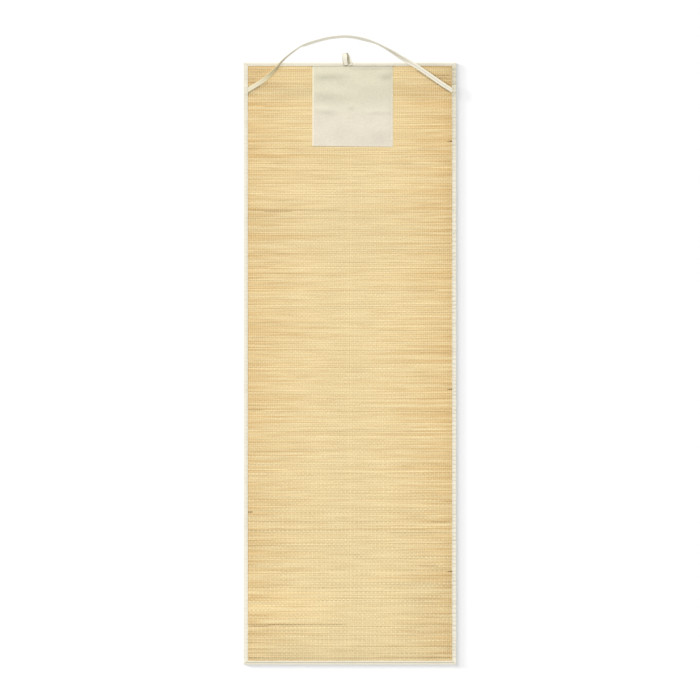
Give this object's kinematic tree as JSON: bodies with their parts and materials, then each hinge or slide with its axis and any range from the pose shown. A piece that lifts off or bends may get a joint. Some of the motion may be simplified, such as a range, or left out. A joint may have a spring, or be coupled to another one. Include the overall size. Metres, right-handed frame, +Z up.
{
  "type": "straw beach mat",
  "caption": "Flat woven straw beach mat in a folded cotton binding, with a sewn cloth patch, a carrying strap and a fastening loop at one end.",
  "frame": {"origin": "middle of the mat's underside, on the surface that it lies on", "axes": "+X across the mat, to the right in the picture; +Y along the mat, towards the strap; +Z up out of its face"},
  "size_m": [0.6, 1.7761, 0.0177],
  "materials": {
    "straw": "woven straw, dry and slightly glossy",
    "cotton_tape": "plain cream cotton tape, matt",
    "cotton_cloth": "plain pale cotton cloth, matt"
  },
  "bodies": {
    "root": {"straw_panel": "straw", "binding_top": "cotton_tape", "binding_right": "cotton_tape", "binding_bottom": "cotton_tape", "binding_left": "cotton_tape", "cloth_patch": "cotton_cloth", "carry_strap": "cotton_tape", "fastening_loop": "cotton_tape"}
  },
  "joints": []
}
